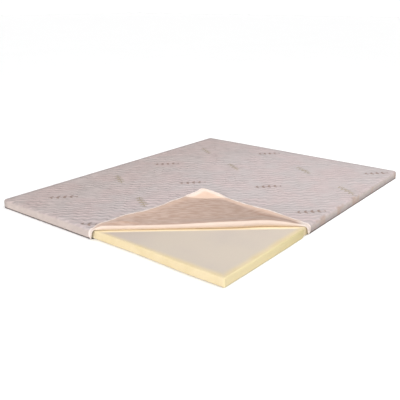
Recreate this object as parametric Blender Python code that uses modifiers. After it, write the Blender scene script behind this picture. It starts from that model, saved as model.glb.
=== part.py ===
"""Mattress topper: a foam slab in a knitted cover, opened at one corner.

Metres, +Z up. The origin is at the middle of the underside, X runs along the
short side and Y along the long side. The open corner is at +X, -Y.

The cover's upper is one cloth: top, rounded shoulders and sides. Its shape is
worked out on the laid-out cloth, where the sides lie in one plane with the
top, and lay() bends that plane over the slab. Beyond the crease, which runs
straight over the top and bends a little at the shoulders, the cloth rolls up
and lies back on itself with its inner side up, and its boxed corner stands up
at the tip. The edge tape follows the flap's free edge.
"""

import math

import bmesh
import bpy
import numpy as np

# Driving sizes of the whole topper
WIDTH = 1.600
LENGTH = 2.000
HEIGHT = 0.052

# Cover
CLOTH = 0.002
SHOULDER = 0.014
CORNER = 0.016
SEAM_HEIGHT = 0.007
TAPE_WIDTH = 0.010
TAPE_END_WIDTH = 0.015
TAPE_TIP_WIDTH = 0.005
TAPE_END_REACH = 0.08
TAPE_CLOTH = 0.0016
TAPE_CLEAR = 0.0005
CLEAR = 0.0003

# The crease: where it meets the cover's lower edge and its shoulder lines
MOUTH_FRONT_X = -0.037
CROSS_FRONT_X = -0.022
CROSS_SIDE_Y = -0.280
MOUTH_SIDE_Y = -0.260

# Folded-back corner: the directions of its free edges, and the roll's radii
FRONT_EDGE_TURN = math.radians(83.5)
SIDE_EDGE_TURN = math.radians(173.5)
ROLL_MOUTH = 0.0028
ROLL_FRONT = 0.0115
ROLL_SIDE = 0.0175
ROLL_SET_BACK = 0.003
ROLL_DRAWN_BACK = 0.013
LIE_HEIGHT = 0.006
ROLL_FALL = 0.075
FRONT_LEAN = math.radians(3)
SIDE_LEAN = math.radians(13)
SHORTEST_FLAP = 0.004
# The side edge sags inward, and the front edge stands up near its mouth
EDGE_SAG = 0.028
EDGE_SAG_REACH = 0.50
FRONT_STAND = 0.013
FRONT_STAND_ALONG = 0.14
FRONT_STAND_REACH = 0.075
# The boxed tip stands up past a crease of its own
TIP_START = 0.445
TIP_ANGLE = math.radians(47)
TIP_LEAN = 0.42
TIP_GATHER = 2.0
TIP_ROUND = 0.022
TIP_SOFTNESS = 0.014

# Loose cloth: the lift beside the front mouth, and slow waves of the top
MOUTH_LIFT = 0.005
MOUTH_LIFT_X = -0.22
MOUTH_LIFT_REACH = 0.24
WAVE = 0.0011

# Foam
FOAM_SIDE_CLEAR = 0.0065
FOAM_TOP_CLEAR = 0.0007
FOAM_EDGE_COVERED = 0.010
FOAM_EDGE_BARE = 0.004
FOAM_CORNER = 0.022
FOAM_BARE_CORNER = 0.005
FOAM_DRAWN_IN = 0.014
FOAM_BULGE = 0.003

# Base panel
BASE_CORNER = 0.016
BASE_BARE_CORNER = 0.080
BASE_BARE_INSET = 0.040
BASE_TURN = 0.0016

# Grid of the cover: rows up the cloth and columns round it. The wall's rows,
# as shares of its height, are closest where the flap bends over the shoulder
WALL_ROWS = (0.0, 0.25, 0.48, 0.60, 0.72, 0.85, 1.0)
BODY_ROWS = {"wall": len(WALL_ROWS) - 1, "shoulder": 3, "top": 6}
FLAP_ROWS = {"roll": 6, "flap": 7, "strip": 3}
# Columns of each stretch of the outline, from the front mouth round to the
# side mouth, and the share of the crease that faces it
STRETCHES = (
    ("front", 7, 0.13),
    ("front_left_corner", 3, 0.03),
    ("left", 10, 0.32),
    ("far_left_corner", 3, 0.03),
    ("far", 9, 0.27),
    ("far_right_corner", 3, 0.03),
    ("right", 7, 0.19),
)
MOUTH_SHARE = 0.075

# Worked out from the sizes above: the cloth's middle surface
HALF_X = WIDTH / 2 - CLOTH / 2
HALF_Y = LENGTH / 2 - CLOTH / 2
TOP = HEIGHT - CLOTH / 2
EDGE_X = HALF_X - SHOULDER
EDGE_Y = HALF_Y - SHOULDER
ARC = math.pi / 2 * SHOULDER
DROP = TOP - SHOULDER - SEAM_HEIGHT
STRIP = ARC + DROP
BOXED_REACH = STRIP * math.sqrt(2)

# The crease on the laid-out cloth, from the front mouth to the side mouth
CREASE = np.array(
    [
        (MOUTH_FRONT_X, -EDGE_Y - STRIP),
        (CROSS_FRONT_X, -EDGE_Y),
        (EDGE_X, CROSS_SIDE_Y),
        (EDGE_X + STRIP, MOUTH_SIDE_Y),
    ]
)
CREASE_STEPS = np.hypot(*np.diff(CREASE, axis=0).T)
CREASE_LENGTH = float(CREASE_STEPS.sum())
FRONT_CROSSING = CREASE_STEPS[0] / CREASE_LENGTH
SIDE_CROSSING = 1 - CREASE_STEPS[2] / CREASE_LENGTH
ALONG = (CREASE[2] - CREASE[1]) / CREASE_STEPS[1]
INWARD = np.array([-ALONG[1], ALONG[0]])
FIRST_SHARE = FRONT_CROSSING + MOUTH_SHARE
LAST_SHARE = SIDE_CROSSING - MOUTH_SHARE
TIP_SHARE = 0.57

COLLECTION = "mattress_topper"


def smooth(share):
    """Ease from 0 to 1 as share goes from 0 to 1."""
    share = np.clip(share, 0.0, 1.0)
    return share * share * (3 - 2 * share)


def part_of(value, low, high):
    """Share of the way from low to high, held between 0 and 1."""
    return np.clip((value - low) / (high - low), 0.0, 1.0)


def top_height(x, y):
    """Height of the cloth's middle surface over a point of the slab."""
    lift = MOUTH_LIFT * np.exp(
        -(((x - MOUTH_LIFT_X) / MOUTH_LIFT_REACH) ** 2)
        - (((y + EDGE_Y) / MOUTH_LIFT_REACH) ** 2)
    )
    wave = WAVE * (1 + np.sin(5.2 * x + 1.1) * np.cos(3.9 * y + 0.5))
    return TOP - WAVE + lift + wave


def over_edge(beyond, rise, top):
    """Bend cloth that runs past a shoulder line: how far out, and how high."""
    turn = np.clip(beyond / SHOULDER, 0.0, math.pi / 2)
    fall = np.clip((beyond - ARC) / DROP, 0.0, None)
    radius = SHOULDER + rise
    out = radius * np.sin(turn)
    high = top - SHOULDER + radius * np.cos(turn) - fall * (top - SHOULDER - SEAM_HEIGHT)
    return out, high


def lay(x, y, rise):
    """Place points of the laid-out cloth, rise above the cover, on the slab."""
    top = top_height(np.minimum(x, EDGE_X), np.maximum(y, -EDGE_Y))
    out_front, high_front = over_edge(-EDGE_Y - y, rise, top)
    out_side, high_side = over_edge(x - EDGE_X, rise, top)
    past_front = y < -EDGE_Y
    past_side = x > EDGE_X
    high = np.where(past_front, high_front, np.where(past_side, high_side, top + rise))
    return np.stack(
        [
            np.where(past_side, EDGE_X + out_side, x),
            np.where(past_front, -EDGE_Y - out_front, y),
            high,
        ],
        axis=-1,
    )


def crease_point(share):
    """Point of the laid-out cloth at a share of the crease."""
    stops = [0.0, FRONT_CROSSING, SIDE_CROSSING, 1.0]
    return np.stack([np.interp(share, stops, axis) for axis in CREASE.T], axis=-1)


def set_back(share):
    """How far inward of the crease the roll leaves the top: most near the side."""
    ramp = np.minimum(
        part_of(share, FRONT_CROSSING, FIRST_SHARE),
        part_of(-share, -SIDE_CROSSING, -LAST_SHARE),
    )
    way = part_of(share, FRONT_CROSSING, SIDE_CROSSING)
    return (ROLL_SET_BACK + ROLL_DRAWN_BACK * np.exp(-(((way - 0.81) / 0.10) ** 2))) * ramp


def roll_radius(share):
    """Radius of the roll: small at the mouths, fuller towards the side mouth."""
    way = part_of(share, FRONT_CROSSING, SIDE_CROSSING)
    opens = smooth(part_of(share, FRONT_CROSSING - 0.012, FRONT_CROSSING + 0.035))
    opens = opens * np.sin(math.pi / 2 * part_of(-way, -1.0, -0.78)) ** 0.8
    full = ROLL_FRONT + (ROLL_SIDE - ROLL_FRONT) * smooth(part_of(way, 0.30, 0.68))
    return ROLL_MOUTH + (full - ROLL_MOUTH) * opens


def stretch_shares(along):
    """Share of each stretch of the outline that lies before a column."""
    counts = np.array([columns for _, columns, _ in STRETCHES])
    ends = np.cumsum(counts)
    column = along * ends[-1]
    return [part_of(column, end - count, end) for count, end in zip(counts, ends)]


def body_rows(up):
    """How far past the shoulder line a row hangs, and its reach to the roll."""
    total = sum(BODY_ROWS.values())
    shoulder_end = BODY_ROWS["wall"] + BODY_ROWS["shoulder"]
    rows = [*range(len(WALL_ROWS)), shoulder_end]
    hangs = [STRIP - DROP * share for share in WALL_ROWS] + [0.0]
    return np.interp(up * total, rows, hangs), part_of(up * total, shoulder_end, total)


def front_share(up):
    """Share of the crease at which a row of the body starts."""
    hang, reach = body_rows(up)
    return FRONT_CROSSING * (1 - hang / STRIP) + MOUTH_SHARE * reach


def side_share(up):
    """Share of the crease at which a row of the body ends."""
    hang, reach = body_rows(up)
    return 1 - (1 - SIDE_CROSSING) * (1 - hang / STRIP) - MOUTH_SHARE * reach


def facing_share(along):
    """Share of the crease that faces a column of the body."""
    shares = stretch_shares(along)
    way = sum(weight * share for (_, _, weight), share in zip(STRETCHES, shares))
    return FIRST_SHARE + (LAST_SHARE - FIRST_SHARE) * way


def body_place(along, up):
    """Cover from its lower edge up the wall, over the shoulder, to the roll."""
    hang, reach = body_rows(up)
    front, turn_a, left, turn_b, far, turn_c, right = stretch_shares(along)
    mid_x = HALF_X - CORNER
    mid_y = HALF_Y - CORNER
    start_x = crease_point(front_share(up))[:, 0]
    end_y = crease_point(side_share(up))[:, 1]
    start_x = np.where(hang > 0, start_x, CROSS_FRONT_X)
    end_y = np.where(hang > 0, end_y, CROSS_SIDE_Y)
    centre_x = start_x + (-mid_x - start_x) * front + 2 * mid_x * far
    centre_y = -mid_y + 2 * mid_y * left + (end_y - mid_y) * right
    facing = -math.pi / 2 * (1 + turn_a + turn_b + turn_c)
    inset = CORNER - SHOULDER
    edge_x = centre_x + inset * np.cos(facing)
    edge_y = centre_y + inset * np.sin(facing)
    out, high = over_edge(hang, 0.0, top_height(edge_x, edge_y))
    share = facing_share(along)
    roll_start = crease_point(share) + set_back(share)[:, None] * INWARD
    x = edge_x + (roll_start[:, 0] - edge_x) * reach
    y = edge_y + (roll_start[:, 1] - edge_y) * reach
    on_top = np.stack([x, y, top_height(x, y)], axis=-1)
    on_edge = np.stack(
        [edge_x + out * np.cos(facing), edge_y + out * np.sin(facing), high], axis=-1
    )
    return np.where((hang > 0)[:, None], on_edge, on_top)


def flap_columns():
    """Shares of the crease at the flap's columns, shared with the body."""
    rows = np.linspace(0, 1, sum(BODY_ROWS.values()) + 1)
    columns = np.linspace(0, 1, sum(columns for _, columns, _ in STRETCHES) + 1)
    return np.concatenate(
        [front_share(rows), facing_share(columns)[1:-1], side_share(rows)[::-1]]
    )


def past(value, softness):
    """The value where it is positive, 0 where negative, eased in between."""
    eased = (np.clip(value, -softness, softness) + softness) ** 2 / (4 * softness)
    return eased + np.clip(value - softness, 0.0, None)


def distance_to_line(share, corner, turn):
    """Distance inward from the crease to a free edge that starts at a corner."""
    way = np.array([math.cos(turn), math.sin(turn)])
    across = np.array([-way[1], way[0]])
    return (corner - crease_point(share)) @ across / (INWARD @ across)


def flap_reach(share):
    """Cloth distance from the crease to the free edge, gathered at the tip."""
    to_front = distance_to_line(share, CREASE[0], FRONT_EDGE_TURN)
    to_side = distance_to_line(share, CREASE[3], SIDE_EDGE_TURN)
    free = 0.5 * (to_front + to_side - np.sqrt((to_front - to_side) ** 2 + TIP_ROUND ** 2))
    on_side = smooth(part_of(share, TIP_SHARE - 0.05, TIP_SHARE + 0.05))
    free = free - EDGE_SAG * on_side * np.sin(math.pi * part_of(free, 0.0, EDGE_SAG_REACH)) ** 2
    free = past(free, 4 * SHORTEST_FLAP)
    return free - (1 - 1 / TIP_GATHER) * past(free - TIP_START, TIP_SOFTNESS)


def boxed_start(share):
    """Distance from the crease at which the flap's boxed side starts."""
    start = set_back(share)
    free = flap_reach(share)
    return np.maximum(free - BOXED_REACH, start + 0.4 * (free - start))


def edge_way(share):
    """Outward direction of the free edge, along the crease and inward."""
    step = 0.002
    slope = (flap_reach(share + step) - flap_reach(share - step)) / (2 * step * CREASE_LENGTH)
    length = np.sqrt(1 + slope ** 2)
    return -slope / length, 1 / length


def flap_point(share, beside, inward, rise):
    """Place flap cloth: beside a share of the crease and inward of it."""
    standing = past(inward - TIP_START, TIP_SOFTNESS)
    flat = inward - (1 - math.cos(TIP_ANGLE)) * standing
    place = crease_point(share) + np.multiply.outer(beside - TIP_LEAN * standing, ALONG)
    place = place + np.multiply.outer(flat, INWARD)
    return lay(place[:, 0], place[:, 1], rise + math.sin(TIP_ANGLE) * standing)


def flap_rise(share, inward):
    """Height of the flap over the cover: the roll's back, then nearly flat.

    Its boxed side leans up, and it stands a little near the front mouth.
    """
    back = inward - set_back(share)
    fall = np.exp(-((back / ROLL_FALL) ** 2))
    boxed = np.clip(inward - boxed_start(share), 0.0, None)
    way = part_of(share, FRONT_CROSSING, SIDE_CROSSING)
    lean = FRONT_LEAN + (SIDE_LEAN - FRONT_LEAN) * smooth(part_of(way, 0.70, 0.88))
    lean = np.tan(lean) * smooth(part_of(flap_reach(share), 0.06, 0.20))
    beside = share * CREASE_LENGTH - CREASE_STEPS[0] - FRONT_STAND_ALONG
    stand = FRONT_STAND * np.exp(-((beside / FRONT_STAND_REACH) ** 2)) * smooth(back / 0.03)
    return LIE_HEIGHT + (2 * roll_radius(share) - LIE_HEIGHT) * fall + lean * boxed + stand


def flap_share(along):
    """Share of the crease at a place along the flap's columns."""
    shares = flap_columns()
    return np.interp(along * (len(shares) - 1), np.arange(len(shares)), shares)


def flap_place(along, up):
    """Cloth past the crease: roll, flap and boxed side, out to its free edge."""
    share = flap_share(along)
    total = sum(FLAP_ROWS.values())
    roll_end = FLAP_ROWS["roll"] / total
    flap_end = (FLAP_ROWS["roll"] + FLAP_ROWS["flap"]) / total
    turn = math.pi * part_of(up, 0, roll_end)
    over = part_of(up, roll_end, flap_end)
    across = part_of(up, flap_end, 1.0)
    radius = roll_radius(share)
    start = set_back(share)
    boxed = boxed_start(share)
    inward = start - radius * np.sin(turn) + (boxed - start) * over
    inward = inward + (flap_reach(share) - boxed) * across
    rise = np.where(over > 0, flap_rise(share, inward), radius * (1 - np.cos(turn)))
    return flap_point(share, 0.0 * share, inward, rise)


def tape_place(along, up):
    """Tape beyond the flap's free edge: wide at the front mouth, narrow at the tip."""
    share = flap_share(along)
    free = flap_reach(share)
    beside, outward = edge_way(share)
    to_mouth = CREASE_LENGTH * share
    widened = (TAPE_END_WIDTH - TAPE_WIDTH) * (1 - smooth(to_mouth / TAPE_END_REACH))
    narrowed = (TAPE_WIDTH - TAPE_TIP_WIDTH) * smooth(part_of(free, 0.8 * TIP_START, TIP_START))
    beyond = TAPE_CLEAR + (TAPE_WIDTH + widened - narrowed) * up
    return flap_point(
        share, beside * beyond, free + outward * beyond, flap_rise(share, free)
    )


def add_grid(shape, columns, rows, place):
    """Add a grid to the shape and move its points to their places."""
    made = bmesh.ops.create_grid(shape, x_segments=columns, y_segments=rows, size=0.5)
    flat = np.array([vert.co for vert in made["verts"]]) + 0.5
    for vert, point in zip(made["verts"], place(flat[:, 0], flat[:, 1])):
        vert.co = point


def add_material(name, colour, roughness):
    """Principled material of one sub-part."""
    material = bpy.data.materials.new(name)
    material.use_nodes = True
    shader = material.node_tree.nodes["Principled BSDF"]
    shader.inputs["Base Color"].default_value = (*colour, 1.0)
    shader.inputs["Roughness"].default_value = roughness
    shader.inputs["Metallic"].default_value = 0.0
    return material


def add_object(name, shape, material, collection):
    """Turn a shape into a named object of the collection."""
    mesh = bpy.data.meshes.new(name)
    shape.to_mesh(mesh)
    shape.free()
    mesh.materials.append(material)
    mesh.shade_smooth()
    mesh.set_sharp_from_angle(angle=math.radians(40))
    piece = bpy.data.objects.new(name, mesh)
    collection.objects.link(piece)
    return piece


def add_thickness(piece, thickness):
    """Give a sheet its thickness, half of it on either side."""
    solid = piece.modifiers.new("cloth_thickness", "SOLIDIFY")
    solid.thickness = thickness
    solid.offset = 0.0
    solid.use_even_offset = True
    solid.use_quality_normals = True


def cover_upper(collection):
    """Top, shoulders and sides of the cover, with its corner folded back."""
    shape = bmesh.new()
    columns = sum(columns for _, columns, _ in STRETCHES)
    add_grid(shape, columns, sum(BODY_ROWS.values()), body_place)
    add_grid(shape, len(flap_columns()) - 1, sum(FLAP_ROWS.values()), flap_place)
    bmesh.ops.remove_doubles(shape, verts=shape.verts, dist=0.00002)
    bmesh.ops.recalc_face_normals(shape, faces=shape.faces)
    knit = add_material("jacquard_knit", (0.56, 0.49, 0.47), 0.85)
    piece = add_object("cover_upper", shape, knit, collection)
    add_thickness(piece, CLOTH)


def edge_tape(collection):
    """Pale tape sewn along the free edge of the opened corner."""
    shape = bmesh.new()
    add_grid(shape, len(flap_columns()) - 1, 1, tape_place)
    bmesh.ops.recalc_face_normals(shape, faces=shape.faces)
    tape = add_material("edge_tape", (0.86, 0.80, 0.76), 0.8)
    piece = add_object("edge_tape", shape, tape, collection)
    add_thickness(piece, TAPE_CLOTH)


def outline(open_radius, radius, straight, bend):
    """Closed rounded rectangle: points and outward directions, from +X -Y."""
    signs = ((1, -1), (1, 1), (-1, 1), (-1, -1))
    radii = (open_radius, radius, radius, radius)
    points = []
    outward = []
    for corner, ((sx, sy), bend_radius) in enumerate(zip(signs, radii)):
        centre = np.array([sx * (WIDTH / 2 - bend_radius), sy * (LENGTH / 2 - bend_radius)])
        first = -math.pi / 2 + corner * math.pi / 2
        for step in range(bend + 1):
            angle = first + step / bend * math.pi / 2
            way = np.array([math.cos(angle), math.sin(angle)])
            points.append(centre + bend_radius * way)
            outward.append(way)
        nx, ny = signs[(corner + 1) % 4]
        next_radius = radii[(corner + 1) % 4]
        following = np.array(
            [nx * (WIDTH / 2 - next_radius), ny * (LENGTH / 2 - next_radius)]
        )
        start = centre + bend_radius * way
        end = following + next_radius * way
        for step in range(1, straight):
            points.append(start + (end - start) * step / straight)
            outward.append(way)
    return np.array(points), np.array(outward)


def ring_solid(rings):
    """Closed solid from rings of points, capped flat at the first and last."""
    shape = bmesh.new()
    loops = [[shape.verts.new(point) for point in ring] for ring in rings]
    count = len(loops[0])
    for lower, upper in zip(loops, loops[1:]):
        for index in range(count):
            follow = (index + 1) % count
            shape.faces.new((lower[index], lower[follow], upper[follow], upper[index]))
    shape.faces.new(loops[0])
    shape.faces.new(loops[-1])
    bmesh.ops.recalc_face_normals(shape, faces=shape.faces)
    return shape


def ring(points, outward, inset, height):
    """One ring of a ring solid: the outline drawn in, at its height."""
    plan = points - outward * np.reshape(inset, (-1, 1))
    return np.column_stack([plan, np.broadcast_to(height, len(plan))])


def bareness(points):
    """0 where the cover hides the slab's edge, 1 along the opened corner."""
    x, y = points.T
    along_front = smooth(part_of(x, MOUTH_FRONT_X - 0.03, MOUTH_FRONT_X + 0.02))
    along_side = smooth(part_of(-y, -MOUTH_SIDE_Y + 0.032, -MOUTH_SIDE_Y + 0.070))
    return along_front * along_side


def foam_core(collection):
    """Foam slab: drawn in beside the front mouth, a little out at its right side."""
    points, outward = outline(FOAM_BARE_CORNER, FOAM_CORNER, 60, 4)
    bare = bareness(points)
    x, y = points.T
    on_front = y < -LENGTH / 2 + FOAM_CORNER
    drawn = smooth(part_of(x, -0.62, -0.10)) * (1 - smooth(part_of(x, 0.22, 0.64)))
    inset = FOAM_SIDE_CLEAR * (1 - bare)
    inset = np.where(on_front, np.maximum(inset, FOAM_DRAWN_IN * drawn), inset)
    on_side = (x > WIDTH / 2 - FOAM_BARE_CORNER) & (y < 0)
    inset = inset - FOAM_BULGE * bare * on_side * smooth(part_of(y, -1.0, -0.6))
    edge = FOAM_EDGE_COVERED + (FOAM_EDGE_BARE - FOAM_EDGE_COVERED) * bare
    low = CLOTH + CLEAR
    high = HEIGHT - CLOTH - FOAM_TOP_CLEAR - WAVE
    rings = []
    for angle in np.radians([90, 45, 0]):
        rings.append(
            ring(
                points,
                outward,
                inset + FOAM_EDGE_BARE * (1 - math.cos(angle)),
                low + FOAM_EDGE_BARE * (1 - math.sin(angle)),
            )
        )
    for angle in np.radians([0, 30, 60, 90]):
        rings.append(
            ring(
                points,
                outward,
                inset + edge * (1 - math.cos(angle)),
                high - edge * (1 - math.sin(angle)),
            )
        )
    foam = add_material("foam", (0.88, 0.80, 0.58), 0.9)
    add_object("foam_core", ring_solid(rings), foam, collection)


def base_panel(collection):
    """Underside of the cover: a flat sheet whose edge turns up to the seam."""
    points, outward = outline(BASE_BARE_CORNER, BASE_CORNER, 60, 5)
    x, y = points.T
    front = part_of(x, MOUTH_FRONT_X - 0.034, MOUTH_FRONT_X - 0.010)
    side = part_of(-y, -MOUTH_SIDE_Y - 0.034, -MOUTH_SIDE_Y - 0.010)
    flat = smooth(front) * smooth(side)
    inset = BASE_BARE_INSET * smooth(
        part_of(x, MOUTH_FRONT_X - 0.014, MOUTH_FRONT_X + 0.03)
    ) * smooth(part_of(-y, -MOUTH_SIDE_Y - 0.014, -MOUTH_SIDE_Y + 0.03))
    rim = (SEAM_HEIGHT - CLEAR) + (CLOTH - (SEAM_HEIGHT - CLEAR)) * flat
    rings = [
        ring(points, outward, inset + 3 * BASE_TURN, 0.0),
        ring(points, outward, inset + BASE_TURN, 0.0),
        ring(points, outward, inset, BASE_TURN / 2),
        ring(points, outward, inset, rim),
        ring(points, outward, inset + CLOTH, rim),
        ring(points, outward, inset + CLOTH + BASE_TURN, CLOTH),
    ]
    cloth = add_material("base_cloth", (0.25, 0.21, 0.19), 0.9)
    add_object("base_panel", ring_solid(rings), cloth, collection)


def clear_scene():
    """Remove what the scene starts with."""
    for thing in list(bpy.data.objects):
        bpy.data.objects.remove(thing, do_unlink=True)


def build():
    """Make the collection and every piece of the topper in it."""
    clear_scene()
    collection = bpy.data.collections.new(COLLECTION)
    bpy.context.scene.collection.children.link(collection)
    base_panel(collection)
    foam_core(collection)
    cover_upper(collection)
    edge_tape(collection)


build()
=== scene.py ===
"""Mattress topper: the looks of its cover, foam, base cloth and edge tape.

Metres, +Z up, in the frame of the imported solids. X runs along the short side
and Y along the long side, and the opened corner is at +X, -Y.

Every cloth surface is worked out on the laid-out cloth, where the sides lie in
one plane with the top. lay() bends that plane over the slab, and past the
crease the cloth rolls up and lies back on itself with its inner side up.
"""

import math

import bmesh
import bpy
import numpy as np
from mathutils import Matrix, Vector


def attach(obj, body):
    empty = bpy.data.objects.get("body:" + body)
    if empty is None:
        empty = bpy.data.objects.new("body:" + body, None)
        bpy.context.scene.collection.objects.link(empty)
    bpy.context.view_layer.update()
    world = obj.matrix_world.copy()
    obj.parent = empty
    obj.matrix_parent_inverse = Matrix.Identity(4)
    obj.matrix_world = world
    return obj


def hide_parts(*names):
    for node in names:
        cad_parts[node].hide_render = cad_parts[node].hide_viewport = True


TAU = 2 * math.pi

# Slab and cloth
WIDTH = 1.600
LENGTH = 2.000
HEIGHT = 0.052
CLOTH = 0.002
SHOULDER = 0.014
CORNER = 0.016
SEAM_HEIGHT = 0.007
CLEAR = 0.0003

# Tape along the opened edge; its inner border lies inside the cloth's edge
TAPE_WIDTH = 0.010
TAPE_END_WIDTH = 0.015
TAPE_TIP_WIDTH = 0.005
TAPE_END_REACH = 0.08
TAPE_CLOTH = 0.0014
TAPE_TUCK = 0.003
TAPE_CROWN = 0.0004

# The crease: where it meets the cover's lower edge and its shoulder lines
MOUTH_FRONT_X = -0.037
CROSS_FRONT_X = -0.022
CROSS_SIDE_Y = -0.280
MOUTH_SIDE_Y = -0.260

# Folded-back corner: the directions in which its free edges run
FRONT_EDGE_TURN = math.radians(83.5)
SIDE_EDGE_TURN = math.radians(173.5)
ROLL_MOUTH = 0.0028
ROLL_FRONT = 0.0115
ROLL_SIDE = 0.0175
ROLL_SET_BACK = 0.003
ROLL_DRAWN_BACK = 0.013
LIE_HEIGHT = 0.006
ROLL_FALL = 0.075
FRONT_LEAN = math.radians(3)
SIDE_LEAN = math.radians(13)
SHORTEST_FLAP = 0.004
EDGE_SAG = 0.028
EDGE_SAG_REACH = 0.50
FRONT_STAND = 0.013
FRONT_STAND_ALONG = 0.14
FRONT_STAND_REACH = 0.075
TIP_START = 0.445
TIP_ANGLE = math.radians(47)
TIP_LEAN = 0.42
TIP_GATHER = 2.0
TIP_ROUND = 0.022
TIP_SOFTNESS = 0.014
TIP_SHARE = 0.57

# Loose cloth: the lift beside the front mouth, and slow waves of the top
MOUTH_LIFT = 0.005
MOUTH_LIFT_X = -0.22
MOUTH_LIFT_REACH = 0.24
WAVE = 0.0011

# Foam
FOAM_SIDE_CLEAR = 0.0065
FOAM_TOP_CLEAR = 0.0007
FOAM_EDGE_COVERED = 0.010
FOAM_EDGE_BARE = 0.004
FOAM_CORNER = 0.022
FOAM_BARE_CORNER = 0.005
FOAM_DRAWN_IN = 0.014
FOAM_BULGE = 0.003

# Base cloth
BASE_CORNER = 0.016
BASE_BARE_CORNER = 0.080
BASE_BARE_INSET = 0.040
BASE_TURN = 0.0016

# Rows up the cloth, and columns of each stretch of the outline with the share
# of the crease that faces it, from the front mouth round to the side mouth
WALL_ROWS = np.linspace(0.0, 1.0, 15)
BODY_ROWS = {"wall": len(WALL_ROWS) - 1, "shoulder": 6, "top": 42}
FLAP_ROWS = {"roll": 16, "flap": 26, "boxed": 8}
TAPE_ROWS = 8
STRETCHES = (
    ("front", 40, 0.13),
    ("front_left_corner", 8, 0.03),
    ("left", 56, 0.32),
    ("far_left_corner", 8, 0.03),
    ("far", 50, 0.27),
    ("far_right_corner", 8, 0.03),
    ("right", 40, 0.19),
)
MOUTH_SHARE = 0.075

# Soft creases of the folded corner: where each starts and ends, as distances
# along the crease from the front shoulder line and inward of it, and its form.
# The last two lift the free edge on either side of the standing tip
FLAP_CREASES = (
    # along_0, inward_0, along_1, inward_1, width, height
    (0.780, 0.060, 0.930, 0.125, 0.012, 0.0030),
    (0.740, 0.110, 0.900, 0.160, 0.014, -0.0022),
    (0.830, 0.055, 0.960, 0.080, 0.010, -0.0020),
    (0.560, 0.090, 0.700, 0.150, 0.016, 0.0016),
    (0.420, 0.110, 0.600, 0.120, 0.014, -0.0014),
    (0.330, 0.190, 0.520, 0.215, 0.018, 0.0015),
    (0.180, 0.070, 0.330, 0.090, 0.014, 0.0014),
    (0.480, 0.300, 0.640, 0.330, 0.020, -0.0012),
    (0.340, 0.320, 0.545, 0.500, 0.022, 0.0075),
    (0.560, 0.500, 0.720, 0.440, 0.018, 0.0055),
)
ROLL_GROOVE = 0.10
ROLL_GROOVE_TURN = math.radians(58)

# Worked out from the sizes above: the cloth's middle surface
HALF_X = WIDTH / 2 - CLOTH / 2
HALF_Y = LENGTH / 2 - CLOTH / 2
TOP = HEIGHT - CLOTH / 2
EDGE_X = HALF_X - SHOULDER
EDGE_Y = HALF_Y - SHOULDER
ARC = math.pi / 2 * SHOULDER
DROP = TOP - SHOULDER - SEAM_HEIGHT
STRIP = ARC + DROP
BOXED_REACH = STRIP * math.sqrt(2)

# The crease on the laid-out cloth, from the front mouth to the side mouth
CREASE = np.array(
    [
        (MOUTH_FRONT_X, -EDGE_Y - STRIP),
        (CROSS_FRONT_X, -EDGE_Y),
        (EDGE_X, CROSS_SIDE_Y),
        (EDGE_X + STRIP, MOUTH_SIDE_Y),
    ]
)
CREASE_STEPS = np.hypot(*np.diff(CREASE, axis=0).T)
CREASE_LENGTH = float(CREASE_STEPS.sum())
FRONT_CROSSING = CREASE_STEPS[0] / CREASE_LENGTH
SIDE_CROSSING = 1 - CREASE_STEPS[2] / CREASE_LENGTH
ALONG = (CREASE[2] - CREASE[1]) / CREASE_STEPS[1]
INWARD = np.array([-ALONG[1], ALONG[0]])
FIRST_SHARE = FRONT_CROSSING + MOUTH_SHARE
LAST_SHARE = SIDE_CROSSING - MOUTH_SHARE

# Camera at the photograph's angle
EYE = (2.0305, -2.7270, 1.1481)
AIM = (0.0242, -0.1834, 0.0)
LENS = 50.775


def smooth(share):
    """Ease from 0 to 1 as share goes from 0 to 1."""
    share = np.clip(share, 0.0, 1.0)
    return share * share * (3 - 2 * share)


def part_of(value, low, high):
    """Share of the way from low to high, held between 0 and 1."""
    return np.clip((value - low) / (high - low), 0.0, 1.0)


def past(value, softness):
    """The value where it is positive, 0 where negative, eased in between."""
    eased = (np.clip(value, -softness, softness) + softness) ** 2 / (4 * softness)
    return eased + np.clip(value - softness, 0.0, None)


def top_height(x, y):
    """Height of the cloth's middle surface: slow sine waves and the mouth's lift."""
    lift = MOUTH_LIFT * np.exp(
        -(((x - MOUTH_LIFT_X) / MOUTH_LIFT_REACH) ** 2)
        - (((y + EDGE_Y) / MOUTH_LIFT_REACH) ** 2)
    )
    wave = WAVE * (1 + np.sin(5.2 * x + 1.1) * np.cos(3.9 * y + 0.5))
    return TOP - WAVE + lift + wave


def over_edge(beyond, rise, top):
    """A quarter circle, then straight down: how far out, and how high."""
    turn = np.clip(beyond / SHOULDER, 0.0, math.pi / 2)
    fall = np.clip((beyond - ARC) / DROP, 0.0, None)
    radius = SHOULDER + rise
    out = radius * np.sin(turn)
    high = top - SHOULDER + radius * np.cos(turn) - fall * (top - SHOULDER - SEAM_HEIGHT)
    return out, high


def lay(x, y, rise):
    """Place points of the laid-out cloth, rise above the cover, on the slab."""
    top = top_height(np.minimum(x, EDGE_X), np.maximum(y, -EDGE_Y))
    out_front, high_front = over_edge(-EDGE_Y - y, rise, top)
    out_side, high_side = over_edge(x - EDGE_X, rise, top)
    past_front = y < -EDGE_Y
    past_side = x > EDGE_X
    high = np.where(past_front, high_front, np.where(past_side, high_side, top + rise))
    return np.stack(
        [
            np.where(past_side, EDGE_X + out_side, x),
            np.where(past_front, -EDGE_Y - out_front, y),
            high,
        ],
        axis=-1,
    )


def crease_point(share):
    """Point of the laid-out cloth at a share of the crease."""
    stops = [0.0, FRONT_CROSSING, SIDE_CROSSING, 1.0]
    return np.stack([np.interp(share, stops, axis) for axis in CREASE.T], axis=-1)


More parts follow.
